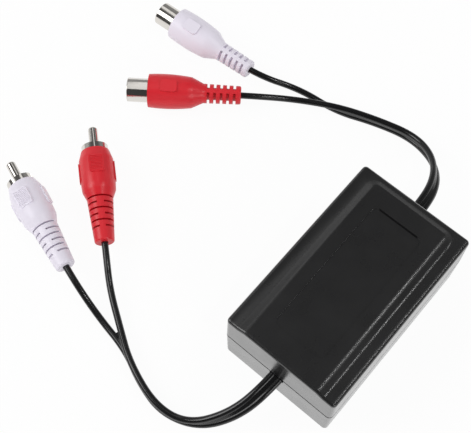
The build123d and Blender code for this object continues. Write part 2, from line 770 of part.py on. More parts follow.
def make_plug(channel, place):
    """A male phono plug that lies with its axis level."""
    body_end = plug_boot_length + plug_body_length
    with BuildPart() as body:
        with BuildSketch(outward(place, 90)):
            with BuildLine():
                boot = Polyline(
                    (0, 0), (0, plug_boot_end_radius), (plug_boot_length, plug_boot_root_radius),
                    (plug_boot_length + plug_shoulder_length, plug_body_radius - 0.3),
                )
                side = Spline(
                    boot @ 1,
                    (plug_boot_length + 0.55 * plug_body_length, plug_body_radius),
                    (body_end - plug_nose_length, plug_body_radius - 0.1),
                )
                Polyline(side @ 1, (body_end, plug_nose_radius), (body_end, 0), (0, 0))
            make_face()
        revolve(axis=Axis(place.origin, place.x_dir))
        fillet(
            body.edges().filter_by(GeomType.CIRCLE).sort_by(Axis(place.origin, place.x_dir))[0],
            boot_end_rounding,
        )
        pad_distance = plug_boot_length + 0.62 * plug_body_length
        add_pads(
            place, pad_distance, plug_pad_length, plug_pad_width, plug_body_radius, plug_pad_rise, (0, 180)
        )
        rib_distance = plug_boot_length + 0.56 * plug_body_length
        add_pads(
            place, rib_distance, plug_rib_length, plug_rib_width, plug_body_radius, plug_rib_rise, (90, 270)
        )
        for row in range(plug_slot_rows):
            distance = plug_boot_length - row * plug_slot_pitch - plug_slot_width / 2
            angles = (90, 270) if row % 2 == 0 else (0, 180)
            cut_windows(place, distance, plug_slot_width, plug_slot_span, angles)
        # Bore for the lead, and the seat of the collar
        with BuildSketch(across(place, 0)):
            Circle(cord_diameter / 2 + cord_clearance)
        extrude(amount=cord_entry, mode=Mode.SUBTRACT)
        with BuildSketch(across(place, body_end)):
            Circle(collar_radius + mould_clearance)
        extrude(amount=-collar_seat, mode=Mode.SUBTRACT)
    finish(body, f"{channel}_plug_body")

    collar_end = body_end + collar_reach
    collar_start = body_end - collar_seat
    with BuildPart() as collar:
        with BuildSketch(across(place, collar_start)):
            Circle(collar_radius)
        extrude(amount=collar_end - collar_start)
        with BuildSketch(across(place, collar_start + collar_thickness)):
            Circle(collar_radius - collar_thickness)
        extrude(amount=collar_end - collar_start, mode=Mode.SUBTRACT)
        with BuildSketch(across(place, collar_end)):
            Rectangle(2 * collar_radius + 1, collar_slot_width)
            Rectangle(collar_slot_width, 2 * collar_radius + 1)
        extrude(amount=-collar_slot_length, mode=Mode.SUBTRACT)
        with BuildSketch(across(place, collar_start)):
            Circle(pin_shank_radius + 2 * mould_clearance)
        extrude(amount=collar_thickness, mode=Mode.SUBTRACT)
    finish(collar, f"{channel}_plug_collar")

    insulator_start = collar_start + collar_thickness
    with BuildPart() as insulator:
        with BuildSketch(across(place, insulator_start)):
            Circle(collar_radius - collar_thickness - mould_clearance)
        extrude(amount=plug_insulator_length)
        with BuildSketch(across(place, insulator_start + plug_insulator_length)):
            Circle(plug_insulator_neck_radius)
        extrude(amount=plug_insulator_neck_length)
        with BuildSketch(across(place, insulator_start)):
            Circle(pin_shank_radius + mould_clearance)
        extrude(amount=plug_insulator_length + plug_insulator_neck_length, mode=Mode.SUBTRACT)
    finish(insulator, f"{channel}_plug_insulator")

    neck_end = insulator_start + plug_insulator_length + plug_insulator_neck_length
    pin_start = neck_end + pin_shank_show
    with BuildPart() as pin:
        with BuildSketch(across(place, collar_start)):
            Circle(pin_shank_radius)
        extrude(amount=pin_start - collar_start)
        with BuildSketch(across(place, pin_start)):
            Circle(pin_radius)
        extrude(amount=collar_end + pin_reach - pin_start)
        fillet(
            pin.edges().filter_by(GeomType.CIRCLE).sort_by(Axis(place.origin, place.x_dir))[-1],
            pin_tip_radius,
        )
    finish(pin, f"{channel}_plug_pin")


def make_jack(channel, place):
    """A female phono jack that lies with its axis level."""
    body_end = jack_boot_length + jack_body_length
    shoulder_end = jack_boot_length + jack_shoulder_length
    with BuildPart() as body:
        with BuildSketch(outward(place, 90)):
            with BuildLine():
                boot = Polyline(
                    (0, 0),
                    (0, jack_boot_end_radius),
                    (jack_boot_length, jack_boot_root_radius),
                    (shoulder_end, jack_hip_radius),
                )
                bulge = Spline(
                    boot @ 1,
                    ((shoulder_end + body_end) / 2, jack_bulge_radius),
                    (body_end, jack_front_radius),
                )
                Polyline(bulge @ 1, (body_end, 0), (0, 0))
            make_face()
            outline = vertices().filter_by(lambda corner: corner.Y > 1)
            fillet(outline.filter_by_position(Axis.X, -1, 1), boot_end_rounding)
            fillet(outline.filter_by_position(Axis.X, body_end - 1, body_end + 1), boot_end_rounding)
            fillet(outline.filter_by_position(Axis.X, shoulder_end - 1, shoulder_end + 1), shoulder_rounding)
        revolve(axis=Axis(place.origin, place.x_dir))
        pad_distance = jack_boot_length + 0.62 * jack_body_length
        add_pads(
            place, pad_distance, jack_pad_length, jack_pad_width, jack_bulge_radius, jack_pad_rise, (0, 180)
        )
        for row in range(jack_slot_rows):
            distance = jack_slot_start - row * jack_slot_pitch
            cut_windows(place, distance, jack_slot_width, jack_slot_span, (0, 180))
        # Bore for the lead, and the seat of the barrel
        with BuildSketch(across(place, 0)):
            Circle(cord_diameter / 2 + cord_clearance)
        extrude(amount=cord_entry, mode=Mode.SUBTRACT)
        with BuildSketch(across(place, body_end)):
            Circle(barrel_root_radius + mould_clearance)
        extrude(amount=-barrel_seat, mode=Mode.SUBTRACT)
    finish(body, f"{channel}_jack_body")

    barrel_start = body_end - barrel_seat
    barrel_end = body_end + barrel_reach
    with BuildPart() as barrel:
        with BuildSketch(across(place, barrel_start)):
            Circle(barrel_root_radius)
        extrude(amount=barrel_seat + barrel_root_show)
        with BuildSketch(across(place, body_end + barrel_root_show)):
            Circle(barrel_radius)
        extrude(amount=barrel_reach - barrel_root_show)
        with BuildSketch(across(place, barrel_start)):
            Circle(barrel_radius - barrel_thickness)
        extrude(amount=barrel_end - barrel_start, mode=Mode.SUBTRACT)
        rims = barrel.edges().filter_by(GeomType.CIRCLE).group_by(Axis(place.origin, place.x_dir))[-1]
        fillet(rims, barrel_rim_radius)
    finish(barrel, f"{channel}_jack_barrel")

    insulator_end = barrel_end - jack_insulator_recess
    contact_end = insulator_end - contact_mouth_wall
    contact_start = contact_end - contact_length
    contact_radius = contact_bore_radius + contact_thickness
    with BuildPart() as insulator:
        with BuildSketch(across(place, barrel_start)):
            Circle(barrel_radius - barrel_thickness - mould_clearance)
        extrude(amount=insulator_end - barrel_start)
        with BuildSketch(across(place, contact_start)):
            Circle(contact_radius + mould_clearance)
        extrude(amount=contact_length, mode=Mode.SUBTRACT)
        with BuildSketch(across(place, contact_end)):
            Circle(contact_bore_radius + contact_mouth_clearance)
        extrude(amount=contact_mouth_wall, mode=Mode.SUBTRACT)
    finish(insulator, f"{channel}_jack_insulator")

    with BuildPart() as contact:
        with BuildSketch(across(place, contact_start)):
            Circle(contact_radius)
            Circle(contact_bore_radius, mode=Mode.SUBTRACT)
        extrude(amount=contact_length)
    finish(contact, f"{channel}_jack_contact")


make_plug("white", white_plug_place)
make_plug("red", red_plug_place)
make_jack("white", white_jack_place)
make_jack("red", red_jack_place)
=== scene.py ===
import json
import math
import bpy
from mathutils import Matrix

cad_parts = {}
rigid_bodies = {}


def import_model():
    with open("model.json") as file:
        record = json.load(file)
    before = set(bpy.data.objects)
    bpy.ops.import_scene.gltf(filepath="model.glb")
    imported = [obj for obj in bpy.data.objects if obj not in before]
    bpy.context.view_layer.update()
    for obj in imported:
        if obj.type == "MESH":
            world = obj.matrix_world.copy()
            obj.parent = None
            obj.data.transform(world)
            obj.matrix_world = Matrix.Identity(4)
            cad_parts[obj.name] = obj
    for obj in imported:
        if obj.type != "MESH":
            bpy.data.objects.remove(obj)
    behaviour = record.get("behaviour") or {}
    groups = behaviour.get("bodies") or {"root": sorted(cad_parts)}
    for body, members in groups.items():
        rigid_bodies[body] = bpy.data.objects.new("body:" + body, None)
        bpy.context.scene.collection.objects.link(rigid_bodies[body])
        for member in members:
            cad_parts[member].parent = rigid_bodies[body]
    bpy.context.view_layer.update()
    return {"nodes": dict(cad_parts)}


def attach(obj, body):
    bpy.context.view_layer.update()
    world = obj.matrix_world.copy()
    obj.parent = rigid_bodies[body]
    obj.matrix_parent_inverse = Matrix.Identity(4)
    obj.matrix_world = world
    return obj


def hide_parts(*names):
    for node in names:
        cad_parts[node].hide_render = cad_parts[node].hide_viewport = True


bl_info = {
    "name": "Ground Loop Isolator",
    "version": (1, 0, 0),
    "blender": (4, 5, 0),
    "location": "View3D > Sidebar > Isolator",
    "description": "Dresses a phono ground loop isolator with its leads, plugs and jacks",
    "category": "Object",
}

import bmesh
import bpy
from mathutils import Matrix, Vector

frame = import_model()
NODES = frame["nodes"]
CHANNELS = ("white", "red")
MM = 0.001

# Sizes shared with the solids, in millimetres
CASE_HALF_WIDTH = 20.0
SEAM_MIDDLE = 16.2
PANEL_SLOPE = 25.6
PANEL_SLOPE_RUN = 2.3
PANEL_FILLET = 0.11
PANEL_FOOT = (31.2, 15.6, 3.4)
PANEL_TOP = 30.0
RECESS_END = 23.1
SPLIT_GAP = 3.3
CORD_ENTRY = 4.0
CORD_STRAIGHT = 4.0
AXIS_HEIGHT = 6.536
PLUG_PAD_REACH = 6.0
PLUG_PAD_MIDDLE = 26.126
PLUG_PAD_WIDTH = 5.0
GRIP_MARGIN = 0.7

# Soft shapes that only the material of the shells has, in millimetres
FOOT_ROUNDING = 0.5
CREST_ROUNDING = 0.8
LONG_FOOT_FROM = -14.0
LONG_FOOT_FULL = -9.0
LIP_DEPTH = 0.16
LIP_RUN = 2.0
LIP_STEP = 0.35
# Distances from the right wall where the rim starts to fall, where it eases, and where it ends
RIM_BENDS = (1.8, 0.8, 0.2)
RIM_STEEPNESS = 0.25

# Edges bent by more degrees than this stay crisp: any edge, and one between two flat faces
STEEP_BEND = 38.0
FLAT_BEND = 9.0
FILLET_STRIP = 0.35 * MM

# The camera fitted to the photograph: degrees, and the point that it looks at in millimetres
CAMERA_AZIMUTH = -50.94
CAMERA_ELEVATION = 66.34
CAMERA_ROLL = 1.42
CAMERA_TARGET = (3.46, 46.78, 0.0)
FLOOR_HALF = 3.0
FLOOR_DROP = 0.05 * MM

# Where each connector lies: the end of its boot, the way it points in degrees from +X, and its roll
CONNECTORS = {
    "white_plug": ((-47.0, 74.6), 70.3, -18.0),
    "red_plug": ((-33.0, 70.9), 49.0, 4.0),
    "white_jack": ((46.8, 77.2), 93.4, -11.0),
    "red_jack": ((37.0, 72.9), 127.2, -11.0),
}

# The routes of the leads in millimetres, from inside the box to the straight run before the boot
ROUTES = {
    "white_plug": [
        (-25.6, -1.325, 14.85),
        (-37.5, -1.325, 14.85),
        (-48.5, 1.9, 8.2),
        (-57.4, 9.6, 1.9),
        (-61.4, 21.3, 1.1),
        (-58.7, 32.8, 1.1),
        (-53.9, 43.0, 1.1),
        (-51.5, 57.3, 1.4),
    ],
    "red_plug": [
        (-25.6, 1.325, 14.85),
        (-37.5, 1.325, 14.85),
        (-49.2, 4.4, 9.3),
        (-59.0, 12.5, 3.75),
        (-61.3, 23.9, 3.75),
        (-56.5, 38.6, 4.0),
        (-49.7, 49.3, 2.6),
        (-42.9, 59.8, 3.1),
    ],
    "white_jack": [
        (25.6, -1.325, 14.85),
        (38.0, -1.325, 14.85),
        (50.2, 0.6, 11.5),
        (60.3, 7.4, 4.6),
        (64.7, 19.4, 1.1),
        (61.3, 33.0, 1.1),
        (56.1, 45.8, 1.1),
        (54.8, 60.7, 1.3),
    ],
    "red_jack": [
        (25.6, 1.325, 14.85),
        (38.0, 1.325, 14.85),
        (49.7, 2.6, 13.3),
        (60.2, 8.3, 7.3),
        (65.0, 18.5, 3.75),
        (61.3, 32.5, 4.0),
        (56.6, 45.9, 3.7),
        (49.6, 59.5, 2.6),
    ],
}


class IsolatorCase(bpy.types.PropertyGroup):
    """Looks of the two shells."""

    color: bpy.props.FloatVectorProperty(
        name="Colour", description="Colour of the moulded shells", subtype="COLOR",
        size=4, default=(0.0088, 0.0088, 0.0092, 1.0), min=0.0, max=1.0,
    )
    roughness: bpy.props.FloatProperty(
        name="Roughness", description="Mean roughness of the satin skin", subtype="FACTOR",
        default=0.29, min=0.0, max=1.0,
    )
    grain: bpy.props.FloatProperty(
        name="Grain depth", description="Depth of the moulded grain", subtype="DISTANCE",
        default=0.0015 * MM, min=0.0, max=0.0002, precision=7,
    )
    foot_reach: bpy.props.FloatProperty(
        name="Foot reach", description="How far the soft foot of the panel runs out on the roof",
        subtype="DISTANCE", default=3.0 * MM, min=0.5 * MM, max=4.0 * MM, precision=4,
    )


class IsolatorLeads(bpy.types.PropertyGroup):
    """Sizes and looks of the four leads."""

    diameter: bpy.props.FloatProperty(
        name="Diameter", description="Outside diameter of one jacket", subtype="DISTANCE",
        default=2.2 * MM, min=1.0 * MM, max=4.0 * MM, precision=4,
    )
    web: bpy.props.FloatProperty(
        name="Web thickness", description="Thickness of the web that joins two jackets",
        subtype="DISTANCE", default=1.3 * MM, min=0.2 * MM, max=2.0 * MM, precision=4,
    )
    color: bpy.props.FloatVectorProperty(
        name="Colour", description="Colour of the jackets", subtype="COLOR",
        size=4, default=(0.008, 0.008, 0.0085, 1.0), min=0.0, max=1.0,
    )


class IsolatorConnectors(bpy.types.PropertyGroup):
    """Looks of the plugs and jacks."""

    white: bpy.props.FloatVectorProperty(
        name="White", description="Colour of the white mouldings", subtype="COLOR",
        size=4, default=(0.78, 0.74, 0.83, 1.0), min=0.0, max=1.0,
    )
    red: bpy.props.FloatVectorProperty(
        name="Red", description="Colour of the red mouldings", subtype="COLOR",
        size=4, default=(0.7, 0.013, 0.024, 1.0), min=0.0, max=1.0,
    )
    plate: bpy.props.FloatVectorProperty(
        name="Plating", description="Colour of the nickel plate", subtype="COLOR",
        size=4, default=(0.75, 0.72, 0.68, 1.0), min=0.0, max=1.0,
    )
    ribs: bpy.props.IntProperty(
        name="Grip ribs", description="Ribs on each grip pad of a plug", default=11, min=3, max=20,
    )
    rib_pitch: bpy.props.FloatProperty(
        name="Rib pitch", description="Distance from rib to rib", subtype="DISTANCE",
        default=0.52 * MM, min=0.3 * MM, max=2.0 * MM, precision=5,
    )
    rib_radius: bpy.props.FloatProperty(
        name="Rib radius", description="Radius of a rib, half sunk in its pad", subtype="DISTANCE",
        default=0.19 * MM, min=0.05 * MM, max=0.5 * MM, precision=5,
    )


class IsolatorStage(bpy.types.PropertyGroup):
    """Camera and lights."""

    distance: bpy.props.FloatProperty(
        name="Camera distance", description="From the camera to the point that it looks at",
        subtype="DISTANCE", default=331.97 * MM, min=0.05, max=5.0,
    )
    lens: bpy.props.FloatProperty(
        name="Lens", description="Focal length on a sensor 36 mm wide",
        default=76.43, min=10.0, max=300.0,
    )
    floor_white: bpy.props.FloatProperty(
        name="Floor white", description="How much of the floor's own white the camera sees",
        subtype="FACTOR", default=0.95, min=0.0, max=1.0,
    )


SETTINGS = {
    "isolator_case": IsolatorCase,
    "isolator_leads": IsolatorLeads,
    "isolator_connectors": IsolatorConnectors,
    "isolator_stage": IsolatorStage,
}


def link(obj):
    """Put an object into the scene's collection."""
    bpy.context.scene.collection.objects.link(obj)
    return obj


def group_socket(tree, name, way, kind, default=None):
    """Add one named input or output to a node group."""
    socket = tree.interface.new_socket(name=name, in_out=way, socket_type=kind)
    if default is not None:
        socket.default_value = default
    return socket


def add_node(tree, kind, **values):
    """Add a node and set its plain values."""
    node = tree.nodes.new(kind)
    for name, value in values.items():
        setattr(node, name, value)
    return node


def feed(tree, socket, value):
    """Give a socket a plain number, or link another node's output to it."""
    if isinstance(value, (int, float)):
        socket.default_value = value
    else:
        tree.links.new(value, socket)


def number(tree, operation, *values, clamp=False):
    """A Math node on plain numbers and sockets."""
    node = add_node(tree, "ShaderNodeMath", operation=operation, use_clamp=clamp)
    for socket, value in zip(node.inputs, values):
        feed(tree, socket, value)
    return node.outputs[0]


def ramp(tree, value, low, high, low_level=0.0, high_level=1.0, smooth=False):
    """Take a value from one span to another, and hold it beyond the ends."""
    kind = "SMOOTHSTEP" if smooth else "LINEAR"
    node = add_node(tree, "ShaderNodeMapRange", interpolation_type=kind)
    spans = {"From Min": low, "From Max": high, "To Min": low_level, "To Max": high_level}
    for name, level in spans.items():
        feed(tree, node.inputs[name], level)
    tree.links.new(value, node.inputs["Value"])
    return node.outputs["Result"]


def blend(tree, factor, first, second):
    """A mix of two plain values."""
    node = add_node(tree, "ShaderNodeMix", data_type="FLOAT")
    for name, value in (("Factor", factor), ("A", first), ("B", second)):
        tree.links.new(value, node.inputs[name])
    return node.outputs["Result"]


def axes(tree, vector):
    """The X, Y and Z of a vector."""
    node = tree.nodes.new("ShaderNodeSeparateXYZ")
    tree.links.new(vector, node.inputs[0])
    return node.outputs


def squared(tree, value):
    """A value times itself."""
    return number(tree, "MULTIPLY", value, value)


def held(tree, value, start, length):
    """How far a value is past a start, held between nothing and a length."""
    past = number(tree, "SUBTRACT", value, start)
    return number(tree, "MINIMUM", number(tree, "MAXIMUM", past, 0.0), length)


def grain_group():
    """Fine moulded grain with a slow change of roughness: shared by every plastic."""
    tree = bpy.data.node_groups.get("moulded_grain")
    if tree:
        return tree
    tree = bpy.data.node_groups.new("moulded_grain", "ShaderNodeTree")
    group_socket(tree, "Vector", "INPUT", "NodeSocketVector")
    group_socket(tree, "Grain Scale", "INPUT", "NodeSocketFloat", 5000.0)
    group_socket(tree, "Cloud Scale", "INPUT", "NodeSocketFloat", 120.0)
    group_socket(tree, "Roughness Low", "INPUT", "NodeSocketFloat", 0.3)
    group_socket(tree, "Roughness High", "INPUT", "NodeSocketFloat", 0.4)
    group_socket(tree, "Height", "OUTPUT", "NodeSocketFloat")
    group_socket(tree, "Roughness", "OUTPUT", "NodeSocketFloat")
    group_socket(tree, "Cloud", "OUTPUT", "NodeSocketFloat")
    inputs = tree.nodes.new("NodeGroupInput")
    outputs = tree.nodes.new("NodeGroupOutput")
    grain = add_node(tree, "ShaderNodeTexNoise")
    grain.inputs["Detail"].default_value = 3.0
    cloud = add_node(tree, "ShaderNodeTexNoise")
    cloud.inputs["Detail"].default_value = 4.0
    roughness = ramp(
        tree, cloud.outputs["Fac"], 0.3, 0.7,
        inputs.outputs["Roughness Low"], inputs.outputs["Roughness High"],
    )
    tree.links.new(inputs.outputs["Vector"], grain.inputs["Vector"])
    tree.links.new(inputs.outputs["Vector"], cloud.inputs["Vector"])
    tree.links.new(inputs.outputs["Grain Scale"], grain.inputs["Scale"])
    tree.links.new(inputs.outputs["Cloud Scale"], cloud.inputs["Scale"])
    tree.links.new(grain.outputs["Fac"], outputs.inputs["Height"])
    tree.links.new(roughness, outputs.inputs["Roughness"])
    tree.links.new(cloud.outputs["Fac"], outputs.inputs["Cloud"])
    return tree


def bands_group():
    """Parallel bands, for stacked plates and wound wire: shared by the inner pieces."""
    tree = bpy.data.node_groups.get("fine_bands")
    if tree:
        return tree
    tree = bpy.data.node_groups.new("fine_bands", "ShaderNodeTree")
    group_socket(tree, "Vector", "INPUT", "NodeSocketVector")
    group_socket(tree, "Bands per Metre", "INPUT", "NodeSocketFloat", 2000.0)
    group_socket(tree, "Waviness", "INPUT", "NodeSocketFloat", 0.3)
    group_socket(tree, "Height", "OUTPUT", "NodeSocketFloat")
    group_socket(tree, "Shade", "OUTPUT", "NodeSocketFloat")
    inputs = tree.nodes.new("NodeGroupInput")
    outputs = tree.nodes.new("NodeGroupOutput")
    scale = number(tree, "MULTIPLY", inputs.outputs["Bands per Metre"], math.pi / 10)
    wave = add_node(tree, "ShaderNodeTexWave", bands_direction="Z")
    wave.inputs["Detail"].default_value = 1.0
    tree.links.new(inputs.outputs["Vector"], wave.inputs["Vector"])
    tree.links.new(scale, wave.inputs["Scale"])
    tree.links.new(inputs.outputs["Waviness"], wave.inputs["Distortion"])
    tree.links.new(wave.outputs["Fac"], outputs.inputs["Height"])
    shade = ramp(tree, wave.outputs["Fac"], 0.0, 1.0, 0.75, 1.0)
    tree.links.new(shade, outputs.inputs["Shade"])
    return tree


def start_material(name):
    """A new material with its shader and the piece's own coordinates."""
    material = bpy.data.materials.new(f"{name}_finish")
    material.use_nodes = True
    tree = material.node_tree
    shader = tree.nodes["Principled BSDF"]
    place = tree.nodes.new("ShaderNodeTexCoord")
    return material, tree, shader, place.outputs["Object"]


def tint(tree, shader, color, mask, dark):
    """Let a mask shade the base colour a little."""
    mix = add_node(tree, "ShaderNodeMix", data_type="RGBA")
    mix.inputs["A"].default_value = [dark * part for part in color[:3]] + [1.0]
    mix.inputs["B"].default_value = color
    tree.links.new(mask, mix.inputs["Factor"])
    tree.links.new(mix.outputs["Result"], shader.inputs["Base Color"])


def bump(tree, shader, height, depth):
    """Feed a height into the shader's normal."""
    node = add_node(tree, "ShaderNodeBump")
    node.inputs["Strength"].default_value = 1.0
    node.inputs["Distance"].default_value = depth
    tree.links.new(height, node.inputs["Height"])
    tree.links.new(node.outputs["Normal"], shader.inputs["Normal"])


def plastic(name, color, roughness, depth, grain_scale=5000.0, dark=0.9, coat=0.0, spread=0.08):
    """A moulded plastic: grain in its normal, clouds in its roughness and colour."""
    material, tree, shader, where = start_material(name)
    grain = add_node(tree, "ShaderNodeGroup", node_tree=grain_group())
    grain.inputs["Grain Scale"].default_value = grain_scale
    grain.inputs["Roughness Low"].default_value = roughness - spread / 2
    grain.inputs["Roughness High"].default_value = roughness + spread / 2
    tree.links.new(where, grain.inputs["Vector"])
    tree.links.new(grain.outputs["Roughness"], shader.inputs["Roughness"])
    tint(tree, shader, color, grain.outputs["Cloud"], dark)
    bump(tree, shader, grain.outputs["Height"], depth)
    shader.inputs["Coat Weight"].default_value = coat
    shader.inputs["Coat Roughness"].default_value = roughness
    return material


def metal(name, color, roughness):
    """A plated metal with faint handling marks."""
    material = plastic(name, color, roughness, 0.0015 * MM, 900.0, 0.93, 0.0, 0.1)
    material.node_tree.nodes["Principled BSDF"].inputs["Metallic"].default_value = 1.0
    return material


def banded(name, color, roughness, bands, depth, turn):
    """A metal with parallel bands across one direction of the piece, turned about X."""
    material, tree, shader, where = start_material(name)
    mapping = add_node(tree, "ShaderNodeMapping")
    mapping.inputs["Rotation"].default_value = (turn, 0.0, 0.0)
    group = add_node(tree, "ShaderNodeGroup", node_tree=bands_group())
    group.inputs["Bands per Metre"].default_value = bands
    tree.links.new(where, mapping.inputs["Vector"])
    tree.links.new(mapping.outputs["Vector"], group.inputs["Vector"])
    tint(tree, shader, color, group.outputs["Shade"], 0.4)
    bump(tree, shader, group.outputs["Height"], depth)
    shader.inputs["Roughness"].default_value = roughness
    shader.inputs["Metallic"].default_value = 1.0
    return material


def panel_distance(tree, place):
    """The distance out from the foot of the roof panel, less than nothing on the panel."""
    half_x, half_y, corner = (value * MM for value in PANEL_FOOT)
    beyond_x = number(tree, "SUBTRACT", place["X"], half_x - corner)
    beyond_y = number(tree, "SUBTRACT", number(tree, "ABSOLUTE", place["Y"]), half_y - corner)
    out_x = number(tree, "MAXIMUM", beyond_x, 0.0)
    out_y = number(tree, "MAXIMUM", beyond_y, 0.0)
    outside = number(tree, "SQRT", number(tree, "ADD", squared(tree, out_x), squared(tree, out_y)))
    inside = number(tree, "MINIMUM", number(tree, "MAXIMUM", beyond_x, beyond_y), 0.0)
    return number(tree, "SUBTRACT", number(tree, "ADD", outside, inside), corner)


def soft_edge(tree, away, middle, width, steep):
    """A height that makes the solid's small fillet at an edge of the panel as wide as asked."""
    off = number(tree, "ABSOLUTE", number(tree, "SUBTRACT", away, middle))

    def ridge(half):
        left = number(tree, "MAXIMUM", number(tree, "SUBTRACT", half, off), 0.0)
        return number(tree, "MULTIPLY", squared(tree, left), steep / (4 * half))

    return number(tree, "SUBTRACT", ridge(width), ridge(PANEL_FILLET * MM))


def long_foot(tree, away, reach, steep):
    """A height that runs the panel's slope out on the roof in one long curve."""
    slope = PANEL_SLOPE_RUN * MM
    run = reach + slope
    on_slope = held(tree, away, -slope, slope)
    on_roof = held(tree, away, 0.0, reach)
    rise = number(tree, "MULTIPLY", squared(tree, on_slope), steep / (2 * run))
    fall = number(tree, "SUBTRACT", reach, number(tree, "MULTIPLY", on_roof, 0.5))
    drop = number(tree, "MULTIPLY", number(tree, "MULTIPLY", on_roof, fall), steep / run)
    return number(tree, "SUBTRACT", rise, drop)


def recess_lip(tree, place):
    """A dip that ends at the far edge of the recess, over the middle of its width."""
    start = number(tree, "SUBTRACT", place["X"], (RECESS_END - LIP_RUN) * MM)
    end = number(tree, "SUBTRACT", (RECESS_END + LIP_STEP) * MM, place["X"])
    before = number(tree, "DIVIDE", start, LIP_RUN * MM)
    after = number(tree, "DIVIDE", end, LIP_STEP * MM)
    dip = number(tree, "MAXIMUM", number(tree, "MINIMUM", before, after), 0.0)
    middle = ramp(tree, number(tree, "ABSOLUTE", place["Y"]), 8.0 * MM, 6.5 * MM, smooth=True)
    return number(tree, "MULTIPLY", number(tree, "MULTIPLY", dip, middle), -LIP_DEPTH * MM)


def right_rim(tree, place):
    """A fall along the right rim of the roof, level again before the wall."""
    start, bend, end = (value * MM for value in RIM_BENDS)
    wall = CASE_HALF_WIDTH * MM
    outward = number(tree, "MULTIPLY", place["Y"], -1.0)
    falling = held(tree, outward, wall - start, start - bend)
    easing = held(tree, outward, wall - bend, bend - end)
    fallen = number(tree, "MULTIPLY", squared(tree, falling), -0.5 * RIM_STEEPNESS / (start - bend))
    eased = number(tree, "MULTIPLY", squared(tree, easing), 0.5 * RIM_STEEPNESS / (bend - end))
    eased = number(tree, "SUBTRACT", eased, number(tree, "MULTIPLY", easing, RIM_STEEPNESS))
    return number(tree, "ADD", fallen, eased)


def soft_roof(tree, where, reach):
    """A height for the roof: soft panel edges, long on the left, the recess's lip and the rim."""
    steep = math.tan(math.radians(PANEL_SLOPE))
    place = axes(tree, where)
    away = panel_distance(tree, place)
    left = ramp(tree, place["Y"], LONG_FOOT_FROM * MM, LONG_FOOT_FULL * MM, smooth=True)
    tight = soft_edge(tree, away, 0.0, FOOT_ROUNDING * MM, steep)
    foot = blend(tree, left, tight, long_foot(tree, away, reach, steep))
    crest = soft_edge(tree, away, -PANEL_SLOPE_RUN * MM, CREST_ROUNDING * MM, steep)
    corners = number(tree, "SUBTRACT", foot, crest)
    shape = number(tree, "ADD", corners, recess_lip(tree, place))
    shape = number(tree, "ADD", shape, right_rim(tree, place))
    facing = axes(tree, tree.nodes.new("ShaderNodeNewGeometry").outputs["Normal"])
    return number(tree, "MULTIPLY", shape, ramp(tree, facing["Z"], 0.4, 0.6))


def shell_plastic(case):
    """The black satin of the shells: grain over the soft roof, and painted shade in the seam and
    along the far edge of the recess, where the reflection is taken away.
    """
    material = plastic("case", case.color, case.roughness, case.grain, 2800.0, 0.9, 0.8)
    tree = material.node_tree
    grain = next(node for node in tree.nodes if node.type == "BUMP")
    where = next(node for node in tree.nodes if node.type == "TEX_COORD").outputs["Object"]
    roof = add_node(tree, "ShaderNodeBump")
    roof.inputs["Strength"].default_value = 1.0
    roof.inputs["Distance"].default_value = 1.0
    tree.links.new(soft_roof(tree, where, case.foot_reach), roof.inputs["Height"])
    tree.links.new(roof.outputs["Normal"], grain.inputs["Normal"])
    place = axes(tree, where)

    def beyond(axis, middle, near, far):
        away = number(tree, "ABSOLUTE", number(tree, "SUBTRACT", place[axis], middle * MM))
        return ramp(tree, away, near * MM, far * MM)

    # Painted shade: the seam and a thin line at the far edge of the recess lose their reflection,
    # so they show dark as if in shadow.
    lip = number(
        tree, "MAXIMUM", beyond("X", RECESS_END, 0.2, LIP_STEP), beyond("Y", 0.0, 6.8, 7.4)
    )
    lip = number(tree, "MAXIMUM", lip, beyond("Z", PANEL_TOP, 0.6, 0.8))
    shine_outside_painted_shade = number(tree, "MULTIPLY", beyond("Z", SEAM_MIDDLE, 0.34, 0.44), lip)
    shader = tree.nodes["Principled BSDF"]
    for socket in ("Specular IOR Level", "Coat Weight"):
        full = shader.inputs[socket].default_value
        tree.links.new(number(tree, "MULTIPLY", shine_outside_painted_shade, full), shader.inputs[socket])
    return material


def finish_named(name):
    """The material of one finish, made when a piece first asks for it."""
    found = bpy.data.materials.get(f"{name}_finish")
    if found:
        return found
    scene = bpy.context.scene
    leads = scene.isolator_leads
    ends = scene.isolator_connectors
    plastics = {
        "jacket": (leads.color, 0.2, 0.006 * MM, 1500.0, 0.85),
        "white_moulding": (ends.white, 0.38, 0.008 * MM, 2500.0, 0.97),
        "red_moulding": (ends.red, 0.36, 0.008 * MM, 2500.0),
        "insulator": ((0.72, 0.7, 0.64, 1.0), 0.45, 0.01 * MM),
        "tie": ((0.7, 0.69, 0.64, 1.0), 0.4, 0.01 * MM),
        "bobbin": ((0.62, 0.58, 0.46, 1.0), 0.5, 0.01 * MM),
        "tape": ((0.75, 0.5, 0.05, 1.0), 0.2, 0.02 * MM, 600.0),
        "board": ((0.02, 0.12, 0.05, 1.0), 0.3, 0.02 * MM, 1600.0, 0.8),
    }
    metals = {
        "nickel": (ends.plate, 0.14),
        "tinned": ((0.68, 0.68, 0.69, 1.0), 0.28),
        "screw_steel": ((0.6, 0.6, 0.62, 1.0), 0.3),
        "bracket_steel": ((0.55, 0.55, 0.57, 1.0), 0.35),
    }
    stacks = {
        "copper": ((0.5, 0.14, 0.04, 1.0), 0.3, 3300.0, 0.06 * MM, 0.0),
        "core_steel": ((0.25, 0.25, 0.27, 1.0), 0.45, 2800.0, 0.03 * MM, math.pi / 2),
    }
    if name in plastics:
        return plastic(name, *plastics[name])
    if name in metals:
        return metal(name, *metals[name])
    if name in stacks:
        return banded(name, *stacks[name])
    return shell_plastic(scene.isolator_case)


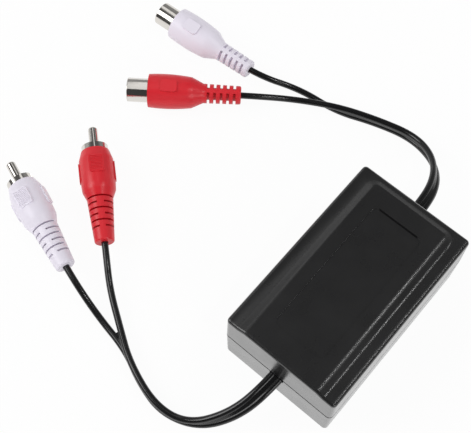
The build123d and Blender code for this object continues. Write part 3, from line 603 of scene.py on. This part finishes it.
def crease(mesh, flat_sides):
    """Mark the edges that stay crisp: steep ones and, on flat sides, bends between wide faces."""
    for face in mesh.faces:
        face.smooth = True
    wide = {}
    for face in mesh.faces:
        longest = max(edge.calc_length() for edge in face.edges)
        wide[face.index] = face.calc_area() / longest >= FILLET_STRIP
    for edge in mesh.edges:
        if len(edge.link_faces) != 2:
            continue
        angle = math.degrees(edge.calc_face_angle(0.0))
        plain = flat_sides and all(wide[face.index] for face in edge.link_faces)
        edge.smooth = angle <= (FLAT_BEND if plain else STEEP_BEND)


def dress(node, finish, flat_sides=False):
    """A smooth-shaded copy of a solid, welded, with its finish, that stands for the solid."""
    mesh = bpy.data.meshes.new(f"{node}_dressed")
    welded = bmesh.new()
    welded.from_mesh(NODES[node].data)
    bmesh.ops.remove_doubles(welded, verts=welded.verts, dist=0.002 * MM)
    bmesh.ops.dissolve_limit(
        welded, angle_limit=math.radians(0.4), verts=welded.verts, edges=welded.edges
    )
    welded.faces.index_update()
    crease(welded, flat_sides)
    welded.to_mesh(mesh)
    welded.free()
    mesh.materials.clear()
    mesh.materials.append(finish_named(finish))
    piece = link(bpy.data.objects.new(f"{node}_dressed", mesh))
    weighted = piece.modifiers.new("even shading", "WEIGHTED_NORMAL")
    weighted.keep_sharp = True
    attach(piece, "root")
    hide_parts(node)
    return piece


def refinish(node, finish):
    """Give a solid that shows as it is its finish."""
    slots = NODES[node].material_slots
    for slot in slots:
        slot.material = finish_named(finish)
    if not slots:
        NODES[node].data.materials.append(finish_named(finish))


def connector_place(name):
    """The frame of a connector: origin at the boot's end, X along its axis, Z out of its top."""
    spot, heading, roll = CONNECTORS[name]
    aim = Matrix.Rotation(math.radians(heading), 4, "Z")
    turn = aim @ Matrix.Rotation(math.radians(roll), 4, "X")
    return Matrix.Translation(Vector((*spot, AXIS_HEIGHT)) * MM) @ turn


def route_points(name):
    """The control points of one lead in metres, ending inside its boot."""
    place = connector_place(name)
    before = place @ Vector((-CORD_STRAIGHT * MM, 0, 0))
    inside = place @ Vector((CORD_ENTRY * MM, 0, 0))
    return [Vector(point) * MM for point in ROUTES[name]] + [before, inside]


def smooth_line(name, points):
    """A curve of one quadratic spline with the given control points."""
    curve = bpy.data.curves.new(name, "CURVE")
    curve.dimensions = "3D"
    spline = curve.splines.new("NURBS")
    spline.points.add(len(points) - 1)
    for control, point in zip(spline.points, points):
        control.co = (*point, 1.0)
    spline.order_u = 3
    spline.use_endpoint_u = True
    curve.resolution_u = 20
    return link(bpy.data.objects.new(name, curve))


def evaluated_mesh(obj):
    """The mesh that an object's curve or modifiers make."""
    bpy.context.view_layer.update()
    return bpy.data.meshes.new_from_object(obj.evaluated_get(bpy.context.evaluated_depsgraph_get()))


def line_points(route):
    """The points that a curve with no bevel passes, in order."""
    mesh = evaluated_mesh(route)
    points = [vertex.co.copy() for vertex in mesh.vertices]
    bpy.data.meshes.remove(mesh)
    return points


def as_mesh(source, name):
    """Turn a curve or an object with modifiers into a plain mesh object, and drop the source."""
    mesh = evaluated_mesh(source)
    mesh.name = name
    mesh.materials.clear()
    for face in mesh.polygons:
        face.use_smooth = True
    bpy.data.objects.remove(source)
    return link(bpy.data.objects.new(name, mesh))


def nearest_on(line, point):
    """The place on a line of points that is nearest to a point."""
    best = None
    for start, end in zip(line, line[1:]):
        run = end - start
        share = max(0.0, min(1.0, (point - start).dot(run) / run.length_squared))
        place = start + run * share
        if best is None or (place - point).length < (best - point).length:
            best = place
    return best


def web_mesh(name, first, second, thickness):
    """The web between two jackets: a strip from one line to the other, as far as the split."""
    mesh = bmesh.new()
    rings = []
    for index, point in enumerate(first[:-1]):
        other = nearest_on(second, point)
        if (other - point).length > SPLIT_GAP * MM:
            break
        along = (first[index + 1] - point).normalized()
        across = (other - point).normalized()
        lift = along.cross(across).normalized() * thickness / 2
        corners = (point + lift, other + lift, other - lift, point - lift)
        rings.append([mesh.verts.new(corner) for corner in corners])
    for near, far in zip(rings, rings[1:]):
        for side in range(4):
            after = (side + 1) % 4
            mesh.faces.new((near[side], near[after], far[after], far[side]))
    mesh.faces.new(rings[0][::-1])
    mesh.faces.new(rings[-1])
    bmesh.ops.recalc_face_normals(mesh, faces=mesh.faces)
    data = bpy.data.meshes.new(name)
    mesh.to_mesh(data)
    mesh.free()
    return link(bpy.data.objects.new(name, data))


def grip_ribs_tree():
    """Rounded bars in a row along X, on the top and, turned over, on the bottom."""
    tree = bpy.data.node_groups.get("grip_ribs")
    if tree:
        return tree
    tree = bpy.data.node_groups.new("grip_ribs", "GeometryNodeTree")
    group_socket(tree, "Ribs", "INPUT", "NodeSocketInt", 9)
    group_socket(tree, "Pitch", "INPUT", "NodeSocketFloat", 0.0006)
    group_socket(tree, "Width", "INPUT", "NodeSocketFloat", 0.004)
    group_socket(tree, "Radius", "INPUT", "NodeSocketFloat", 0.0002)
    group_socket(tree, "Height", "INPUT", "NodeSocketFloat", 0.006)
    group_socket(tree, "Finish", "INPUT", "NodeSocketMaterial")
    group_socket(tree, "Geometry", "OUTPUT", "NodeSocketGeometry")
    inputs = tree.nodes.new("NodeGroupInput")
    outputs = tree.nodes.new("NodeGroupOutput")

    def vector(**parts):
        node = tree.nodes.new("ShaderNodeCombineXYZ")
        for axis, value in parts.items():
            tree.links.new(value, node.inputs[axis])
        return node.outputs[0]

    half = number(tree, "MULTIPLY", inputs.outputs["Width"], 0.5)
    bar = tree.nodes.new("GeometryNodeCurvePrimitiveLine")
    tree.links.new(vector(Y=number(tree, "MULTIPLY", half, -1.0)), bar.inputs["Start"])
    tree.links.new(vector(Y=half), bar.inputs["End"])
    section = tree.nodes.new("GeometryNodeCurvePrimitiveCircle")
    section.inputs["Resolution"].default_value = 10
    tree.links.new(inputs.outputs["Radius"], section.inputs["Radius"])
    rib = tree.nodes.new("GeometryNodeCurveToMesh")
    rib.inputs["Fill Caps"].default_value = True
    tree.links.new(bar.outputs[0], rib.inputs["Curve"])
    tree.links.new(section.outputs[0], rib.inputs["Profile Curve"])
    row = tree.nodes.new("GeometryNodeMeshLine")
    gaps = number(tree, "SUBTRACT", inputs.outputs["Ribs"], 1.0)
    first = number(tree, "MULTIPLY", number(tree, "MULTIPLY", gaps, inputs.outputs["Pitch"]), -0.5)
    tree.links.new(inputs.outputs["Ribs"], row.inputs["Count"])
    tree.links.new(vector(X=first, Z=inputs.outputs["Height"]), row.inputs["Start Location"])
    tree.links.new(vector(X=inputs.outputs["Pitch"]), row.inputs["Offset"])
    spread = tree.nodes.new("GeometryNodeInstanceOnPoints")
    tree.links.new(row.outputs[0], spread.inputs["Points"])
    tree.links.new(rib.outputs[0], spread.inputs["Instance"])
    over = tree.nodes.new("GeometryNodeTransform")
    over.inputs["Rotation"].default_value = (math.pi, 0.0, 0.0)
    tree.links.new(spread.outputs[0], over.inputs["Geometry"])
    both = tree.nodes.new("GeometryNodeJoinGeometry")
    tree.links.new(spread.outputs[0], both.inputs[0])
    tree.links.new(over.outputs[0], both.inputs[0])
    real = tree.nodes.new("GeometryNodeRealizeInstances")
    finish = tree.nodes.new("GeometryNodeSetMaterial")
    tree.links.new(both.outputs[0], real.inputs[0])
    tree.links.new(real.outputs[0], finish.inputs["Geometry"])
    tree.links.new(inputs.outputs["Finish"], finish.inputs["Material"])
    tree.links.new(finish.outputs[0], outputs.inputs[0])
    return tree


class ISOLATOR_OT_leads(bpy.types.Operator):
    """Lay the four leads, and the web that joins each pair as far as the split"""

    bl_idname = "isolator.leads"
    bl_label = "Leads"

    def execute(self, context):
        sizes = context.scene.isolator_leads
        lines = {}
        for name in ROUTES:
            points = route_points(name)
            route = smooth_line(f"{name}_route", points)
            line = line_points(route)
            lines[name] = line
            route.data.bevel_depth = sizes.diameter / 2
            route.data.bevel_resolution = 6
            route.data.use_fill_caps = True
            lead = as_mesh(route, f"{name}_lead_jacket")
            lead.data.materials.append(finish_named("jacket"))
            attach(lead, "root")
            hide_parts(f"{name}_lead")
            pieces = [bpy.data.objects[f"{name}_{part}_dressed"] for part in connector_parts(name)]
            pieces += [piece for piece in bpy.data.objects if piece.name.startswith(f"{name}_grip")]
            if name.startswith("red"):
                kind = name.split("_")[1]
                web = web_mesh(f"{kind}_end_lead_web", lines[f"white_{kind}"], line, sizes.web)
                web.data.materials.append(finish_named("jacket"))
                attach(web, "root")
                pieces.append(web)
        return {"FINISHED"}


def connector_parts(name):
    """The solids at the end of one lead."""
    if name.endswith("plug"):
        return ("body", "collar", "insulator", "pin")
    return ("body", "barrel", "insulator", "contact")


class ISOLATOR_OT_case(bpy.types.Operator):
    """Dress the two shells of the case"""

    bl_idname = "isolator.case"
    bl_label = "Case"

    def execute(self, context):
        dress("upper_shell", "case", True)
        dress("lower_shell", "case", True)
        return {"FINISHED"}


class ISOLATOR_OT_connectors(bpy.types.Operator):
    """Give the plugs and jacks their finishes"""

    bl_idname = "isolator.connectors"
    bl_label = "Plugs and jacks"

    def execute(self, context):
        for name in CONNECTORS:
            moulding = f"{name.split('_')[0]}_moulding"
            for part in connector_parts(name):
                finish = {"body": moulding, "insulator": "insulator"}.get(part, "nickel")
                dress(f"{name}_{part}", finish)
            if name.endswith("plug"):
                self.add_grip(context, name, moulding)
        return {"FINISHED"}

    def add_grip(self, context, name, finish):
        """Fine ribs across the two pads of a plug, made by Geometry Nodes."""
        sizes = context.scene.isolator_connectors
        source = link(bpy.data.objects.new(f"{name}_ribs", bpy.data.meshes.new(f"{name}_ribs")))
        modifier = source.modifiers.new("grip ribs", "NODES")
        modifier.node_group = grip_ribs_tree()
        settings = {
            "Ribs": sizes.ribs,
            "Pitch": sizes.rib_pitch,
            "Width": (PLUG_PAD_WIDTH - GRIP_MARGIN) * MM,
            "Radius": sizes.rib_radius,
            "Height": PLUG_PAD_REACH * MM,
            "Finish": finish_named(finish),
        }
        for socket in modifier.node_group.interface.items_tree:
            if socket.in_out == "INPUT":
                modifier[socket.identifier] = settings[socket.name]
        mesh = evaluated_mesh(source)
        bpy.data.objects.remove(source)
        middle = Matrix.Translation(Vector((PLUG_PAD_MIDDLE * MM, 0, 0)))
        mesh.transform(connector_place(name) @ middle)
        for face in mesh.polygons:
            face.use_smooth = True
        grip = link(bpy.data.objects.new(f"{name}_grip_ribs", mesh))
        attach(grip, "root")


class ISOLATOR_OT_inside(bpy.types.Operator):
    """Give the pieces inside the case their finishes"""

    bl_idname = "isolator.inside"
    bl_label = "Inside"

    def execute(self, context):
        finishes = {
            "case_screws": "screw_steel", "board_screws": "screw_steel", "circuit_board": "board",
            "plug_end_tie": "tie", "jack_end_tie": "tie",
        }
        for channel in CHANNELS:
            finishes.update({
                f"{channel}_e_laminations": "core_steel",
                f"{channel}_i_laminations": "core_steel",
                f"{channel}_bobbin": "bobbin",
                f"{channel}_winding": "copper",
                f"{channel}_winding_tape": "tape",
                f"{channel}_core_bracket": "bracket_steel",
                f"{channel}_terminals": "tinned",
                f"{channel}_plug_end_wires": "tinned",
                f"{channel}_jack_end_wires": "tinned",
            })
        for node, finish in finishes.items():
            refinish(node, finish)
        return {"FINISHED"}


class ISOLATOR_OT_stage(bpy.types.Operator):
    """Set the camera, the pale floor, the world and the lamps"""

    bl_idname = "isolator.stage"
    bl_label = "Stage"

    def execute(self, context):
        context.scene.view_settings.view_transform = "Standard"
        self.add_camera(context)
        self.add_floor(context)
        self.add_world(context)
        self.add_lamps()
        return {"FINISHED"}

    def add_camera(self, context):
        """The camera at the photograph's viewing angle."""
        settings = context.scene.isolator_stage
        azimuth = math.radians(CAMERA_AZIMUTH)
        elevation = math.radians(CAMERA_ELEVATION)
        roll = math.radians(CAMERA_ROLL)
        back = Vector((
            math.sin(azimuth) * math.cos(elevation),
            -math.cos(azimuth) * math.cos(elevation),
            math.sin(elevation),
        ))
        level = Vector((math.cos(azimuth), math.sin(azimuth), 0.0))
        upward = back.cross(level)
        right = level * math.cos(roll) + upward * math.sin(roll)
        up = upward * math.cos(roll) - level * math.sin(roll)
        target = Vector(CAMERA_TARGET) * MM
        data = bpy.data.cameras.new("photo_camera")
        data.sensor_width = 36.0
        data.lens = settings.lens
        data.clip_start = 0.01
        camera = link(bpy.data.objects.new("photo_camera", data))
        turn = Matrix((right, up, back)).transposed().to_4x4()
        camera.matrix_world = Matrix.Translation(target + back * settings.distance) @ turn
        context.scene.camera = camera

    def add_floor(self, context):
        """A pale floor that the camera sees nearly white, and that keeps a soft shadow."""
        white = context.scene.isolator_stage.floor_white
        mesh = bpy.data.meshes.new("floor")
        spots = ((-1, -1), (1, -1), (1, 1), (-1, 1))
        corners = [(x * FLOOR_HALF, y * FLOOR_HALF, -FLOOR_DROP) for x, y in spots]
        mesh.from_pydata(corners, [], [(0, 1, 2, 3)])
        floor = link(bpy.data.objects.new("floor", mesh))
        material = bpy.data.materials.new("floor_paper")
        material.use_nodes = True
        tree = material.node_tree
        tree.nodes.clear()
        output = tree.nodes.new("ShaderNodeOutputMaterial")
        paper = add_node(tree, "ShaderNodeBsdfDiffuse")
        paper.inputs["Color"].default_value = (0.88, 0.88, 0.88, 1.0)
        glow = add_node(tree, "ShaderNodeEmission")
        glow.inputs["Color"].default_value = (1.0, 1.0, 1.0, 1.0)
        ray = tree.nodes.new("ShaderNodeLightPath").outputs
        seen = number(tree, "ADD", ray["Is Camera Ray"], ray["Is Glossy Ray"], clamp=True)
        mix = tree.nodes.new("ShaderNodeMixShader")
        tree.links.new(number(tree, "MULTIPLY", seen, white), mix.inputs["Fac"])
        tree.links.new(paper.outputs[0], mix.inputs[1])
        tree.links.new(glow.outputs[0], mix.inputs[2])
        tree.links.new(mix.outputs[0], output.inputs["Surface"])
        mesh.materials.append(material)

    def add_world(self, context):
        """A soft studio, white for the camera and darker for gloss than for diffuse light."""
        world = bpy.data.worlds.new("studio")
        context.scene.world = world
        world.use_nodes = True
        tree = world.node_tree
        tree.nodes.clear()
        output = tree.nodes.new("ShaderNodeOutputWorld")
        ray = tree.nodes.new("ShaderNodeLightPath").outputs
        toward = axes(tree, tree.nodes.new("ShaderNodeTexCoord").outputs["Generated"])
        soft = ramp(tree, toward["Z"], 0.45, 0.75, 1.0, 0.16, smooth=True)
        far_side = number(
            tree, "MULTIPLY",
            ramp(tree, toward["Z"], 0.4, 0.85, 0.48, 0.1, smooth=True),
            ramp(tree, toward["X"], 0.4, 0.8, 1.0, 0.55, smooth=True),
        )
        lean = number(
            tree, "ADD",
            number(tree, "MULTIPLY", toward["X"], 0.776),
            number(tree, "MULTIPLY", toward["Y"], 0.63),
        )
        glossy = ramp(tree, lean, -0.15, 0.3, 0.05, far_side, smooth=True)
        studio = tree.nodes.new("ShaderNodeBackground")
        white = tree.nodes.new("ShaderNodeBackground")
        for background in (studio, white):
            background.inputs["Color"].default_value = (1.0, 1.0, 1.0, 1.0)
        level = blend(tree, ray["Is Glossy Ray"], soft, glossy)
        tree.links.new(level, studio.inputs["Strength"])
        mix = tree.nodes.new("ShaderNodeMixShader")
        tree.links.new(ray["Is Camera Ray"], mix.inputs["Fac"])
        tree.links.new(studio.outputs[0], mix.inputs[1])
        tree.links.new(white.outputs[0], mix.inputs[2])
        tree.links.new(mix.outputs[0], output.inputs["Surface"])

    def add_lamps(self):
        """Soft lamps left and right, a slim one over the right edge, a card over the jacks."""
        case = (0.0, 0.0, 0.03)
        jacks = (0.07, 0.158, 0.0)
        level = (1.0, 0.0, 0.0)
        # Where each lamp stands, what it faces, the way of its long side, its size and its power
        lamps = {
            "left_softbox": ((-0.55, 0.65, 0.75), case, level, (0.6, 0.6), 4.8),
            "right_fill": ((-0.2, -0.8, 0.45), case, level, (0.4, 0.4), 1.8),
            "edge_strip": ((0.24, -0.284, 0.74), case, level, (0.24, 0.05), 0.95),
            "jack_card": ((0.07, 0.158, 0.2), jacks, (0.797, 0.605, 0.0), (0.325, 0.05), 0.046),
        }
        for name, (spot, target, along, size, power) in lamps.items():
            data = bpy.data.lights.new(name, "AREA")
            data.shape = "RECTANGLE"
            data.size, data.size_y = size
            data.energy = power
            back = (Vector(spot) - Vector(target)).normalized()
            side = (Vector(along) - back * back.dot(Vector(along))).normalized()
            turn = Matrix((side, back.cross(side), back)).transposed().to_4x4()
            lamp = link(bpy.data.objects.new(name, data))
            lamp.matrix_world = Matrix.Translation(spot) @ turn


class ISOLATOR_PT_panel(bpy.types.Panel):
    """The isolator's settings and steps in the sidebar."""

    bl_idname = "ISOLATOR_PT_panel"
    bl_label = "Ground Loop Isolator"
    bl_space_type = "VIEW_3D"
    bl_region_type = "UI"
    bl_category = "Isolator"

    def draw(self, context):
        for name, kind in SETTINGS.items():
            box = self.layout.box()
            for prop in kind.__annotations__:
                box.prop(getattr(context.scene, name), prop)
        for operator in OPERATORS:
            self.layout.operator(operator.bl_idname)


OPERATORS = (
    ISOLATOR_OT_stage,
    ISOLATOR_OT_connectors,
    ISOLATOR_OT_leads,
    ISOLATOR_OT_case,
    ISOLATOR_OT_inside,
)
CLASSES = (*SETTINGS.values(), *OPERATORS, ISOLATOR_PT_panel)


def register():
    for cls in CLASSES:
        bpy.utils.register_class(cls)
    for name, kind in SETTINGS.items():
        setattr(bpy.types.Scene, name, bpy.props.PointerProperty(type=kind))


def unregister():
    for name in SETTINGS:
        delattr(bpy.types.Scene, name)
    for cls in reversed(CLASSES):
        bpy.utils.unregister_class(cls)


def main():
    register()
    for operator in OPERATORS:
        category, step = operator.bl_idname.split(".")
        getattr(getattr(bpy.ops, category), step)()


if __name__ == "__main__":
    main()
